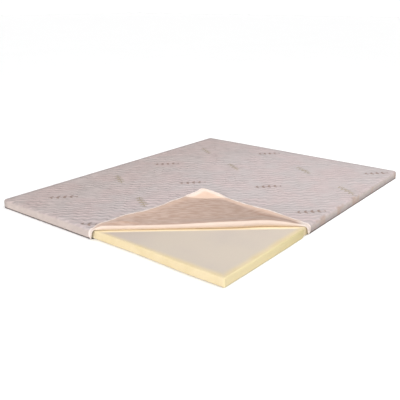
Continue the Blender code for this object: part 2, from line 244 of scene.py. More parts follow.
def set_back(share):
    """How far inward of the crease the roll leaves the top."""
    ramp = np.minimum(
        part_of(share, FRONT_CROSSING, FIRST_SHARE),
        part_of(-share, -SIDE_CROSSING, -LAST_SHARE),
    )
    way = part_of(share, FRONT_CROSSING, SIDE_CROSSING)
    return (ROLL_SET_BACK + ROLL_DRAWN_BACK * np.exp(-(((way - 0.81) / 0.10) ** 2))) * ramp


def roll_radius(share):
    """Radius of the roll: small at the mouths, fuller towards the side mouth."""
    way = part_of(share, FRONT_CROSSING, SIDE_CROSSING)
    opens = smooth(part_of(share, FRONT_CROSSING - 0.012, FRONT_CROSSING + 0.035))
    opens = opens * np.sin(math.pi / 2 * part_of(-way, -1.0, -0.78)) ** 0.8
    full = ROLL_FRONT + (ROLL_SIDE - ROLL_FRONT) * smooth(part_of(way, 0.30, 0.68))
    return ROLL_MOUTH + (full - ROLL_MOUTH) * opens


def stretch_shares(along):
    """Share of each stretch of the outline that lies before a column."""
    counts = np.array([columns for _, columns, _ in STRETCHES])
    ends = np.cumsum(counts)
    column = along * ends[-1]
    return [part_of(column, end - count, end) for count, end in zip(counts, ends)]


def body_rows(up):
    """How far past the shoulder line a row hangs, and its reach to the roll."""
    total = sum(BODY_ROWS.values())
    shoulder_end = BODY_ROWS["wall"] + BODY_ROWS["shoulder"]
    rows = [*range(len(WALL_ROWS)), shoulder_end]
    hangs = [STRIP - DROP * share for share in WALL_ROWS] + [0.0]
    return np.interp(up * total, rows, hangs), part_of(up * total, shoulder_end, total)


def front_share(up):
    """Share of the crease at which a row of the body starts."""
    hang, reach = body_rows(up)
    return FRONT_CROSSING * (1 - hang / STRIP) + MOUTH_SHARE * reach


def side_share(up):
    """Share of the crease at which a row of the body ends."""
    hang, reach = body_rows(up)
    return 1 - (1 - SIDE_CROSSING) * (1 - hang / STRIP) - MOUTH_SHARE * reach


def facing_share(along):
    """Share of the crease that faces a column of the body."""
    shares = stretch_shares(along)
    way = sum(weight * share for (_, _, weight), share in zip(STRETCHES, shares))
    return FIRST_SHARE + (LAST_SHARE - FIRST_SHARE) * way


def body_surface(along, up):
    """Cover up its wall, over the shoulder and on to the roll.

    Each row of the wall is the outline, drawn out by over_edge(). Each row of
    the top is a straight blend from the shoulder line to the roll's start.
    Returns the points and their places on the laid-out cloth.
    """
    hang, reach = body_rows(up)
    front, turn_a, left, turn_b, far, turn_c, right = stretch_shares(along)
    mid_x = HALF_X - CORNER
    mid_y = HALF_Y - CORNER
    start_x = crease_point(front_share(up))[:, 0]
    end_y = crease_point(side_share(up))[:, 1]
    start_x = np.where(hang > 0, start_x, CROSS_FRONT_X)
    end_y = np.where(hang > 0, end_y, CROSS_SIDE_Y)
    centre_x = start_x + (-mid_x - start_x) * front + 2 * mid_x * far
    centre_y = -mid_y + 2 * mid_y * left + (end_y - mid_y) * right
    facing = -math.pi / 2 * (1 + turn_a + turn_b + turn_c)
    way = np.stack([np.cos(facing), np.sin(facing)], axis=-1)
    edge = np.stack([centre_x, centre_y], axis=-1) + (CORNER - SHOULDER) * way
    out, high = over_edge(hang, 0.0, top_height(edge[:, 0], edge[:, 1]))
    share = facing_share(along)
    roll_start = crease_point(share) + set_back(share)[:, None] * INWARD
    top = edge + (roll_start - edge) * reach[:, None]
    on_top = np.column_stack([top, top_height(top[:, 0], top[:, 1])])
    on_edge = np.column_stack([edge + out[:, None] * way, high])
    hangs = (hang > 0)[:, None]
    return np.where(hangs, on_edge, on_top), np.where(hangs, edge + hang[:, None] * way, top)


def flap_columns():
    """Shares of the crease at the flap's columns, shared with the body."""
    rows = np.linspace(0, 1, sum(BODY_ROWS.values()) + 1)
    columns = np.linspace(0, 1, sum(columns for _, columns, _ in STRETCHES) + 1)
    return np.concatenate(
        [front_share(rows), facing_share(columns)[1:-1], side_share(rows)[::-1]]
    )


def flap_share(along):
    """Share of the crease at a place along the flap's columns."""
    shares = flap_columns()
    return np.interp(along * (len(shares) - 1), np.arange(len(shares)), shares)


def distance_to_line(share, corner, turn):
    """Distance inward from the crease to a free edge that starts at a corner."""
    way = np.array([math.cos(turn), math.sin(turn)])
    across = np.array([-way[1], way[0]])
    return (corner - crease_point(share)) @ across / (INWARD @ across)


def flap_reach(share):
    """Cloth distance from the crease to the free edge, gathered at the tip."""
    to_front = distance_to_line(share, CREASE[0], FRONT_EDGE_TURN)
    to_side = distance_to_line(share, CREASE[3], SIDE_EDGE_TURN)
    free = 0.5 * (to_front + to_side - np.sqrt((to_front - to_side) ** 2 + TIP_ROUND ** 2))
    on_side = smooth(part_of(share, TIP_SHARE - 0.05, TIP_SHARE + 0.05))
    free = free - EDGE_SAG * on_side * np.sin(math.pi * part_of(free, 0.0, EDGE_SAG_REACH)) ** 2
    free = past(free, 4 * SHORTEST_FLAP)
    return free - (1 - 1 / TIP_GATHER) * past(free - TIP_START, TIP_SOFTNESS)


def boxed_start(share):
    """Distance from the crease at which the flap's boxed side starts."""
    start = set_back(share)
    free = flap_reach(share)
    return np.maximum(free - BOXED_REACH, start + 0.4 * (free - start))


def edge_way(share):
    """Outward direction of the free edge, along the crease and inward."""
    step = 0.002
    slope = (flap_reach(share + step) - flap_reach(share - step)) / (2 * step * CREASE_LENGTH)
    length = np.sqrt(1 + slope ** 2)
    return -slope / length, 1 / length


def flap_point(share, beside, inward, rise):
    """Place flap cloth: beside a share of the crease and inward of it."""
    standing = past(inward - TIP_START, TIP_SOFTNESS)
    flat = inward - (1 - math.cos(TIP_ANGLE)) * standing
    place = crease_point(share) + np.multiply.outer(beside - TIP_LEAN * standing, ALONG)
    place = place + np.multiply.outer(flat, INWARD)
    return lay(place[:, 0], place[:, 1], rise + math.sin(TIP_ANGLE) * standing)


def creases(share, inward):
    """Sum of the soft creases: each is a bell across its own straight line."""
    along = share * CREASE_LENGTH - CREASE_STEPS[0]
    total = np.zeros_like(along)
    for along_0, inward_0, along_1, inward_1, width, height in FLAP_CREASES:
        run = np.array([along_1 - along_0, inward_1 - inward_0])
        length = np.hypot(*run)
        ahead = ((along - along_0) * run[0] + (inward - inward_0) * run[1]) / length
        beside = ((inward - inward_0) * run[0] - (along - along_0) * run[1]) / length
        fade = smooth(part_of(ahead, 0.0, 0.3 * length)) * smooth(
            part_of(length - ahead, 0.0, 0.3 * length)
        )
        total += height * fade * np.exp(-((beside / width) ** 2))
    return total


def flap_rise(share, inward):
    """Height of the flap over the cover: the roll's back, then nearly flat."""
    back = inward - set_back(share)
    fall = np.exp(-((back / ROLL_FALL) ** 2))
    boxed = np.clip(inward - boxed_start(share), 0.0, None)
    way = part_of(share, FRONT_CROSSING, SIDE_CROSSING)
    lean = FRONT_LEAN + (SIDE_LEAN - FRONT_LEAN) * smooth(part_of(way, 0.70, 0.88))
    lean = np.tan(lean) * smooth(part_of(flap_reach(share), 0.06, 0.20))
    beside = share * CREASE_LENGTH - CREASE_STEPS[0] - FRONT_STAND_ALONG
    stand = FRONT_STAND * np.exp(-((beside / FRONT_STAND_REACH) ** 2)) * smooth(back / 0.03)
    rest = LIE_HEIGHT + (2 * roll_radius(share) - LIE_HEIGHT) * fall + lean * boxed
    return rest + stand + creases(share, inward)


def flap_surface(along, up):
    """Cloth past the crease: a half circle of roll, the flap, its boxed side.

    Returns the points, their places on the laid-out cloth, and for the inner
    side's shades the share of the roll's turn and the distance to the edge.
    """
    share = flap_share(along)
    total = sum(FLAP_ROWS.values())
    roll_end = FLAP_ROWS["roll"] / total
    flap_end = (FLAP_ROWS["roll"] + FLAP_ROWS["flap"]) / total
    turn = math.pi * part_of(up, 0, roll_end)
    over = part_of(up, roll_end, flap_end)
    across = part_of(up, flap_end, 1.0)
    radius = roll_radius(share)
    start = set_back(share)
    boxed = boxed_start(share)
    reach = flap_reach(share)
    groove = 1 - ROLL_GROOVE * np.exp(-(((turn - ROLL_GROOVE_TURN) / 0.16) ** 2))
    inward = start - radius * groove * np.sin(turn) + (boxed - start) * over
    inward = inward + (reach - boxed) * across
    rise = np.where(over > 0, flap_rise(share, inward), radius * (1 - np.cos(turn)))
    points = flap_point(share, 0.0 * share, inward, rise)
    run = radius * turn + np.where(over > 0, inward - start, 0.0)
    laid = crease_point(share) + np.multiply.outer(start - run, INWARD)
    fold = np.stack([turn / math.pi + over + across, reach - inward], axis=-1)
    return points, laid, fold


def tape_surface(along, up):
    """Tape beyond the flap's free edge, slightly crowned across its width.

    Returns the points, and for the weave the length along and across.
    """
    share = flap_share(along)
    free = flap_reach(share)
    beside, outward = edge_way(share)
    to_mouth = CREASE_LENGTH * share
    widened = (TAPE_END_WIDTH - TAPE_WIDTH) * (1 - smooth(to_mouth / TAPE_END_REACH))
    narrowed = (TAPE_WIDTH - TAPE_TIP_WIDTH) * smooth(part_of(free, 0.8 * TIP_START, TIP_START))
    width = TAPE_WIDTH + widened - narrowed + TAPE_TUCK
    beyond = -TAPE_TUCK + width * up
    crown = TAPE_CROWN * (1 - (2 * up - 1) ** 2)
    points = flap_point(
        share, beside * beyond, free + outward * beyond, flap_rise(share, free) + crown
    )
    columns = len(flap_columns())
    first = points[:columns]
    steps = np.linalg.norm(np.diff(first, axis=0), axis=1)
    length = np.concatenate([[0.0], np.cumsum(steps)])
    return points, np.stack([np.tile(length, len(points) // columns), beyond], axis=-1)


def grid(rows, columns):
    """Two flat arrays over a grid, along its columns and up its rows."""
    up, along = np.mgrid[0 : 1 : (rows + 1) * 1j, 0 : 1 : (columns + 1) * 1j]
    return along.ravel(), up.ravel()


def grid_faces(rows, columns, first=0):
    """Four corners of each face of a grid, as point numbers."""
    corner = (np.arange(rows)[:, None] * (columns + 1) + np.arange(columns)).ravel() + first
    return np.stack([corner, corner + columns + 1, corner + columns + 2, corner + 1], axis=-1)


def ring_faces(rings, count):
    """Four corners of each face of a tube of closed rings, as point numbers."""
    ring, place = np.mgrid[0 : rings - 1, 0:count]
    follow = (place + 1) % count
    corners = [place, follow, follow + count, place + count]
    return np.stack([(ring * count + corner).ravel() for corner in corners], axis=-1)


def make_mesh(name, points, faces, maps):
    """Mesh object of the given points and faces, with its maps in metres."""
    mesh = bpy.data.meshes.new(name)
    mesh.from_pydata(points.tolist(), [], faces.tolist())
    for title, places in maps.items():
        layer = mesh.uv_layers.new(name=title)
        layer.data.foreach_set("uv", places[faces.ravel()].astype(np.float32).ravel())
    mesh.shade_smooth()
    piece = bpy.data.objects.new(name, mesh)
    bpy.context.scene.collection.objects.link(piece)
    return piece


def weld(piece, distance):
    """Merge the points that lie in one place, and turn all faces the same way."""
    shape = bmesh.new()
    shape.from_mesh(piece.data)
    bmesh.ops.remove_doubles(shape, verts=shape.verts, dist=distance)
    bmesh.ops.recalc_face_normals(shape, faces=shape.faces)
    shape.to_mesh(piece.data)
    shape.free()


def thicken(piece, thickness):
    """Give a sheet its thickness, half of it on either side."""
    solid = piece.modifiers.new("cloth_thickness", "SOLIDIFY")
    solid.thickness = thickness
    solid.offset = 0.0
    solid.use_quality_normals = True
    return solid


class Number:
    """A number that a material's nodes work out, written as plain arithmetic."""

    def __init__(self, tree, socket):
        self.tree = tree
        self.socket = socket

    def use(self, operation, *others):
        """One Math node on this number and up to two others."""
        node = self.tree.nodes.new("ShaderNodeMath")
        node.operation = operation
        for socket, value in zip(node.inputs, (self, *others)):
            feed(self.tree, socket, value)
        return Number(self.tree, node.outputs[0])

    def __add__(self, other):
        return self.use("ADD", other)

    def __sub__(self, other):
        return self.use("SUBTRACT", other)

    def __mul__(self, other):
        return self.use("MULTIPLY", other)

    def __truediv__(self, other):
        return self.use("DIVIDE", other)

    def __rsub__(self, other):
        return (self * -1.0) + other

    __radd__ = __add__
    __rmul__ = __mul__

    def ramp(self, low, high):
        """Ease from 0 at low to 1 at high."""
        node = self.tree.nodes.new("ShaderNodeMapRange")
        node.interpolation_type = "SMOOTHSTEP"
        feed(self.tree, node.inputs["Value"], self)
        node.inputs["From Min"].default_value = low
        node.inputs["From Max"].default_value = high
        return Number(self.tree, node.outputs["Result"])

    def wave(self, length):
        """Sine of this distance, once per length."""
        return (self * (TAU / length)).use("SINE")

    def cell(self, pitch):
        """Number of the cell of that pitch, and the distance from its middle."""
        count = (self / pitch).use("ROUND")
        return count, self - count * pitch


def feed(tree, socket, value):
    """Give a socket a number, a colour or another node's output."""
    if isinstance(value, Number):
        tree.links.new(value.socket, socket)
    elif hasattr(value, "is_output"):
        tree.links.new(value, socket)
    else:
        socket.default_value = value


class Finish:
    """One material: its nodes, its bump and its Principled shader."""

    def __init__(self, name, roughness, sheen=0.0):
        self.material = bpy.data.materials.new(name)
        self.material.use_nodes = True
        self.tree = self.material.node_tree
        self.shader = self.tree.nodes["Principled BSDF"]
        self.shader.inputs["Roughness"].default_value = roughness
        self.shader.inputs["Sheen Weight"].default_value = sheen
        self.shader.inputs["Sheen Roughness"].default_value = 0.6
        self.shader.inputs["Specular IOR Level"].default_value = 0.25

    def place(self, source, title=None):
        """Two or three numbers of a place: a named map, or Object coordinates."""
        if title:
            node = self.tree.nodes.new("ShaderNodeUVMap")
            node.uv_map = title
            vector = node.outputs["UV"]
        else:
            vector = self.tree.nodes.new("ShaderNodeTexCoord").outputs[source]
        split = self.tree.nodes.new("ShaderNodeSeparateXYZ")
        self.tree.links.new(vector, split.inputs[0])
        return [Number(self.tree, socket) for socket in split.outputs]

    def vector(self, *numbers):
        """Join numbers into one place."""
        node = self.tree.nodes.new("ShaderNodeCombineXYZ")
        for socket, value in zip(node.inputs, numbers):
            feed(self.tree, socket, value)
        return node.outputs[0]

    def noise(self, place, scale, detail=3.0):
        """Cloudy variation between about 0 and 1."""
        node = self.tree.nodes.new("ShaderNodeTexNoise")
        self.tree.links.new(place, node.inputs["Vector"])
        node.inputs["Scale"].default_value = scale
        node.inputs["Detail"].default_value = detail
        return Number(self.tree, node.outputs["Fac"])

    def pores(self, place, scale):
        """Distance to the nearest of many scattered points."""
        node = self.tree.nodes.new("ShaderNodeTexVoronoi")
        self.tree.links.new(place, node.inputs["Vector"])
        node.inputs["Scale"].default_value = scale
        return Number(self.tree, node.outputs["Distance"])

    def mix(self, share, colour_a, colour_b):
        """Blend of two colours."""
        node = self.tree.nodes.new("ShaderNodeMix")
        node.data_type = "RGBA"
        feed(self.tree, node.inputs["Factor"], share)
        for title, colour in (("A", colour_a), ("B", colour_b)):
            socket = [s for s in node.inputs if s.name == title and s.type == "RGBA"][0]
            feed(self.tree, socket, (*colour, 1.0) if isinstance(colour, tuple) else colour)
        return [s for s in node.outputs if s.type == "RGBA"][0]

    def shade(self, colour, amount):
        """A colour made lighter or darker by a number around 1."""
        node = self.tree.nodes.new("ShaderNodeVectorMath")
        node.operation = "SCALE"
        self.tree.links.new(colour, node.inputs[0])
        feed(self.tree, node.inputs["Scale"], amount)
        return node.outputs[0]

    def finish(self, colour, height):
        """Join the colour and the relief, in metres, to the shader."""
        bump = self.tree.nodes.new("ShaderNodeBump")
        bump.inputs["Distance"].default_value = 1.0
        feed(self.tree, bump.inputs["Height"], height)
        self.tree.links.new(bump.outputs[0], self.shader.inputs["Normal"])
        self.tree.links.new(colour, self.shader.inputs["Base Color"])
        return self.material


# Woven ripples, which run aslant over the knit, and its leaf sprigs
RIPPLE_TURN = math.radians(38)
RIPPLE_PITCH = 0.042
RIPPLE_LENGTH = 0.060
RIPPLE_SWING = 0.006
RIPPLE_DRIFT = 0.16
RIPPLE_RELIEF = 0.0028
SPRIG_COLUMN = 0.42
SPRIG_ROW = 0.46
SPRIG_TURN = math.radians(40)
SPRIG_HALF = 0.088
LEAF_PITCH = 0.038
LEAF_LENGTH = 0.034
LEAF_WIDTH = 0.0085
LEAF_TURN = math.radians(48)
LEAF_TAPER = 0.6
STEM_WAVE = 26.0
STEM_BEND = 0.007
STEM_HALF_WIDTH = 0.0030
FIRST_COLUMN = 0.13
FIRST_ROW = 0.07
# Diamonds of the cover's sides, the knit's stitches, and the weaves of the tape
# and the base cloth with the tape's row of thread
DIAMOND = 0.014
KNIT_WALE = 0.0026
KNIT_COURSE = 0.0034
TAPE_RIB = 0.0020
TAPE_TWILL = 0.0024
THREAD_PITCH = 0.0045
THREAD_HALF_LENGTH = 0.0016
THREAD_HALF_WIDTH = 0.0006
THREAD_ROW = 0.0022
BASE_WEAVE = 0.0024
# Distance beyond the crease at which the painted light on the tip's facet starts on the inner side
TIP_FACET = TIP_START + math.pi * ROLL_SIDE - 0.034

# Colours, as linear red, green and blue: the knit's outer side
KNIT_WARM = ((0.446, 0.352, 0.337), (0.424, 0.357, 0.343))
KNIT_COOL = ((0.441, 0.362, 0.358), (0.419, 0.367, 0.364))
KNIT_WALL = (0.440, 0.370, 0.340)
# Painted shade along the far shoulders, which turn away from the light
FAR_EDGE_PAINTED_SHADE = (0.210, 0.180, 0.175)
# Painted shade on the right wall, which faces away from the key light
RIGHT_WALL_PAINTED_SHADE = (0.200, 0.175, 0.170)
# Patches of painted shade on the right wall, for the shade of its puffy bumps
PATCHY_PAINTED_SHADE = (0.330, 0.215, 0.155)
# Painted shade down the boxed corners, where the rounded corner turns from the light
CORNER_SEAM_PAINTED_SHADE = (0.210, 0.170, 0.150)
LEAVES = ((0.185, 0.110, 0.080), (0.255, 0.200, 0.120))

# The knit's inner side
LINING_TANS = ((0.370, 0.248, 0.190), (0.455, 0.330, 0.272))
# Painted light on the boxed side, which faces the key light
BOXED_SIDE_PAINTED_LIGHT = (0.600, 0.430, 0.340)
# Painted shade in the dip inward of the flap's boxed side
VALLEY_PAINTED_SHADE = (0.270, 0.160, 0.115)
# Painted light on the standing tip's facet, which faces the light
TIP_FACET_PAINTED_LIGHT = (0.645, 0.480, 0.380)
TIP_RIM = (0.760, 0.680, 0.625)
# Painted shade just behind the roll's crest
BEHIND_ROLL_PAINTED_SHADE = (0.300, 0.190, 0.140)
# Painted light on the roll's lower part, paler near the front mouth, against its contact shadow
ROLL_UNDER_PAINTED_LIGHT = ((0.800, 0.620, 0.440), (0.950, 0.840, 0.640))
# Painted light on the roll, which faces the light
ROLL_CREAM_PAINTED_LIGHT = (0.660, 0.536, 0.455)
# Painted shade: a thin dark line in the crease on the roll's lower part
ROLL_LINE_PAINTED_SHADE = (0.560, 0.380, 0.250)
# Painted light on the lining at both mouths, against the shadow there
MOUTH_LINING_PAINTED_LIGHT = (0.640, 0.585, 0.560)

# Foam, tape, base cloth and floor
FOAM_FRONT = ((0.595, 0.487, 0.298), (0.632, 0.526, 0.344))
# Painted light on the foam's front behind the front mouth, against the cover's shadow
FOAM_AT_MOUTH_PAINTED_LIGHT = (0.980, 0.870, 0.640)
# The foam's right face, with painted shade deepening towards the side mouth
FOAM_RIGHT = ((0.680, 0.580, 0.355), (0.590, 0.505, 0.290))
FOAM_RIGHT_END_PAINTED_SHADE = (0.500, 0.425, 0.235)
FOAM_SKIN = ((0.508, 0.443, 0.391), (0.536, 0.467, 0.396))
# Painted shadow of the roll on the foam's top, towards the front left
FOAM_TOP_PAINTED_SHADOW = (0.400, 0.325, 0.300)
# Painted light on the foam's top just in front of the roll, against its contact shadow
FOAM_BY_ROLL_PAINTED_LIGHT = (0.900, 0.770, 0.530)
TAPE_CREAMS = ((0.730, 0.640, 0.600), (0.620, 0.490, 0.420))
THREAD = (0.840, 0.800, 0.770)
BASE_BROWNS = ((0.105, 0.085, 0.080), (0.155, 0.125, 0.115))
FLOOR_WHITES = ((0.93, 0.93, 0.93), (0.95, 0.95, 0.95))


def leaf_sprigs(u, v):
    """Mask of leaf sprigs and the share of each that is of the second colour.

    The cloth is cut into cells, every other column half a cell higher. In each
    cell the distance to a curved stem places leaves in pairs on its two sides,
    each leaf a lens, smaller towards the stem's ends, and every second sprig is
    turned the other way.
    """
    column, beside = (u + FIRST_COLUMN).cell(SPRIG_COLUMN)
    odd = column.use("PINGPONG", 1.0)
    row, above = (v + odd * (SPRIG_ROW / 2) + FIRST_ROW).cell(SPRIG_ROW)
    other = (column + row).use("PINGPONG", 1.0)
    lean = (1.0 - other * 2.0) * math.sin(SPRIG_TURN)
    level = math.cos(SPRIG_TURN)
    ahead = beside * level + above * lean
    across = above * level - beside * lean
    stem = across - (ahead * STEM_WAVE).use("SINE") * STEM_BEND
    apart = stem.use("ABSOLUTE")
    _, along_leaf = ahead.cell(LEAF_PITCH)
    out = along_leaf * math.cos(LEAF_TURN) + apart * math.sin(LEAF_TURN)
    wide = (apart * math.cos(LEAF_TURN) - along_leaf * math.sin(LEAF_TURN)).use("ABSOLUTE")
    bow = out * (2 / LEAF_LENGTH) - 1.0
    size = 1.0 - ahead * ahead * (LEAF_TAPER / SPRIG_HALF ** 2)
    leaf = ((1.0 - bow * bow) * size * LEAF_WIDTH - wide).ramp(0.0, 0.0012)
    inside = (SPRIG_HALF - ahead.use("ABSOLUTE")).ramp(0.0, 0.004)
    line = (STEM_HALF_WIDTH - apart).ramp(-0.0006, 0.0006)
    return leaf.use("MAXIMUM", line) * inside, other


def ripple_height(finish, u, v):
    """Wavy lines: a sine across them whose phase swings along them and drifts."""
    along = u * math.cos(RIPPLE_TURN) + v * math.sin(RIPPLE_TURN)
    ahead = v * math.cos(RIPPLE_TURN) - u * math.sin(RIPPLE_TURN)
    drift = finish.noise(finish.vector(u, v, 0.0), 3.0, 1.0)
    faint = finish.noise(finish.vector(u, v, 0.5), 7.0, 1.0)
    swing = (along + drift * 0.10).wave(RIPPLE_LENGTH) * RIPPLE_SWING
    return (ahead + swing + drift * RIPPLE_DRIFT).wave(RIPPLE_PITCH) * faint.ramp(0.25, 0.55)


def knit_finish():
    """Outer side of the cover: ripples and sprigs on top, diamonds on the sides. Painted shade
    along the far edges, on the right wall and down the corner seams, and a painted light falloff
    across the top.
    """
    finish = Finish("jacquard_knit", 0.88, 0.12)
    u, v, _ = finish.place("UV", "cloth")
    place = finish.vector(u, v, 0.0)
    ripple = ripple_height(finish, u, v) * (1.0 - u.ramp(0.1, 0.6) * 0.25)
    beyond = (u.use("ABSOLUTE") - EDGE_X).use("MAXIMUM", v.use("ABSOLUTE") - EDGE_Y)
    wall = beyond.ramp(0.010, 0.024)
    on_top = 1.0 - beyond.ramp(-0.012, 0.002)
    # Painted shade along the far shoulders
    far_edge_painted_shade = ((u * -1.0) - EDGE_X).use("MAXIMUM", v - EDGE_Y).ramp(-0.034, -0.006)
    corner = (u.use("ABSOLUTE") - EDGE_X).use("MINIMUM", v.use("ABSOLUTE") - EDGE_Y)
    # Painted shade in a line down each boxed corner
    seam = corner.ramp(0.0, 0.003) * wall
    diamond = (u + v).wave(DIAMOND) * (u - v).wave(DIAMOND)
    stitch = u.wave(KNIT_WALE) * v.wave(KNIT_COURSE)
    sprig, other = leaf_sprigs(u, v)
    sprig = sprig * on_top
    along = u * math.cos(RIPPLE_TURN) + v * math.sin(RIPPLE_TURN)
    ahead = v * math.cos(RIPPLE_TURN) - u * math.sin(RIPPLE_TURN)
    brushed = finish.noise(finish.vector(along * 0.30, ahead, 0.0), 48.0, 2.0)
    cloud = finish.noise(place, 5.0, 2.0)
    fleck = finish.noise(place, 90.0, 3.0)
    clouds = cloud.ramp(0.36, 0.64)
    warmer = finish.mix(clouds, *KNIT_WARM)
    cooler = finish.mix(clouds, *KNIT_COOL)
    ground = finish.mix(u.ramp(-0.7, 0.0), warmer, cooler)
    patch = finish.noise(place, 24.0, 3.0)
    ground = finish.mix(wall, ground, KNIT_WALL)
    ground = finish.mix(far_edge_painted_shade * 0.40, ground, FAR_EDGE_PAINTED_SHADE)
    # Painted shade on the right wall, deeper lower down
    right = (u - EDGE_X).ramp(0.006, 0.020)
    ground = finish.mix(right * (beyond.ramp(0.020, 0.046) * 0.5 + 0.12), ground, RIGHT_WALL_PAINTED_SHADE)
    # Patches of painted shade on the right wall
    patchy_shade = finish.noise(place, 8.0, 4.0).ramp(0.50, 0.60)
    patchy_shade = patchy_shade * (u - EDGE_X).ramp(-0.004, 0.012)
    ground = finish.mix(patchy_shade * 0.50, ground, PATCHY_PAINTED_SHADE)
    ground = finish.mix(seam * 0.5, ground, CORNER_SEAM_PAINTED_SHADE)
    leaf = finish.mix(other, *LEAVES)
    colour = finish.mix(sprig * 0.80, ground, leaf)
    lines = ripple * (1.0 - wall) * 0.085 + diamond * wall * 0.03
    lines = lines + (brushed - 0.5) * (1.0 - wall) * (0.60 - u.ramp(-0.5, 0.3) * 0.18)
    lines = lines + (patch - 0.5) * wall * 0.30
    # Painted light falloff across the top: darker to the left and towards the far end, a little
    # darker again at the right
    painted_light_falloff = (u.ramp(-0.75, 0.15) - 0.65) * 0.10 - v.ramp(0.1, 1.0) * 0.035
    painted_light_falloff = painted_light_falloff - u.ramp(0.1, 0.6) * 0.025
    lines = lines + painted_light_falloff * (1.0 - wall)
    colour = finish.shade(colour, lines + (fleck * 0.16 + 0.92))
    relief = ripple * (1.0 - wall) * RIPPLE_RELIEF
    relief = relief + diamond * wall * 0.0003 + stitch * 0.00012 + sprig * 0.0005
    return finish.finish(colour, relief)


def lining_finish():
    """Inner side of the cover: tan floats. Painted light along the flap, on the roll, boxed side,
    tip and mouths; painted shade behind the roll, in the valley and on the roll's line.
    """
    finish = Finish("knit_inner_side", 0.9, 0.10)
    u, v, _ = finish.place("UV", "cloth")
    turned, to_edge, _ = finish.place("UV", "fold")
    place = finish.vector(u, v, 0.0)
    beside = u * ALONG[0] + v * ALONG[1]
    beyond = float(CREASE[1] @ INWARD) - (u * INWARD[0] + v * INWARD[1])
    streak = finish.vector(beside, beyond * 3.2, 0.0)
    float_a = finish.noise(streak, 17.0, 4.0)
    fleck = finish.noise(place, 220.0, 2.0)
    ripple = ripple_height(finish, u, v)
    on_roll = 1.0 - turned.ramp(0.80, 0.96)
    behind = turned.ramp(0.86, 0.97) * (1.0 - turned.ramp(1.005, 1.03))
    on_side = 1.0 - to_edge.ramp(0.030, 0.062)
    at_right = (u - EDGE_X).ramp(-0.01, 0.01)
    at_valley = beside.ramp(0.10, 0.22)
    on_tip = beyond.ramp(TIP_FACET, TIP_FACET + 0.016)
    ground = finish.mix(float_a.ramp(0.36, 0.64), *LINING_TANS)
    # Painted light along the flap: lighter towards the front mouth, darker towards the side mouth
    ground = finish.shade(ground, 1.08 - beside.ramp(-0.55, 0.30) * 0.24)
    # Painted shade in the dip inward of the boxed side
    valley = to_edge.ramp(0.056, 0.066) * (1.0 - to_edge.ramp(0.070, 0.100)) * at_valley
    # Painted light on the flap's boxed side, stronger at the right
    ground = finish.mix(on_side * (at_right * 0.40 + 0.35), ground, BOXED_SIDE_PAINTED_LIGHT)
    ground = finish.mix(valley * 0.5, ground, VALLEY_PAINTED_SHADE)
    # Painted light on the tip's facet
    ground = finish.mix(on_tip * 0.85, ground, TIP_FACET_PAINTED_LIGHT)
    rim = on_tip * (1.0 - to_edge.ramp(0.008, 0.024))
    ground = finish.mix(rim * 0.55, ground, TIP_RIM)
    # Painted shade just behind the roll's crest
    ground = finish.mix(behind * 0.30, ground, BEHIND_ROLL_PAINTED_SHADE)
    # Painted shade in a thin line along the roll's crease
    line = (0.035 - (turned - 0.30).use("ABSOLUTE")).ramp(0.0, 0.030)
    under = 1.0 - turned.ramp(0.26, 0.32)
    at_front = 1.0 - beside.ramp(-0.64, -0.34)
    # Painted light on the roll's lower part, against its contact shadow
    lower = finish.mix(at_front, *ROLL_UNDER_PAINTED_LIGHT)
    # Painted light on the roll's upper part
    rolled = finish.mix(under, ROLL_CREAM_PAINTED_LIGHT, lower)
    rolled = finish.mix(line * (0.60 - at_front * 0.45), rolled, ROLL_LINE_PAINTED_SHADE)
    # Painted shade: the roll darker towards the side mouth
    rolled = finish.shade(rolled, 1.0 - beside.ramp(-0.05, 0.20) * 0.08)
    colour = finish.mix(on_roll, ground, rolled)
    # Painted light on the lining at both mouths
    at_mouths = beside.ramp(0.36, 0.41).use("MAXIMUM", 1.0 - beside.ramp(-0.680, -0.655))
    colour = finish.mix(at_mouths * 0.60, colour, MOUTH_LINING_PAINTED_LIGHT)
    colour = finish.shade(colour, ripple * 0.02 + (fleck * 0.10 + 0.95))
    relief = float_a * 0.0016 + fleck * 0.0004 + ripple * 0.0003
    return finish.finish(colour, relief * (1.0 - on_roll * 0.7))


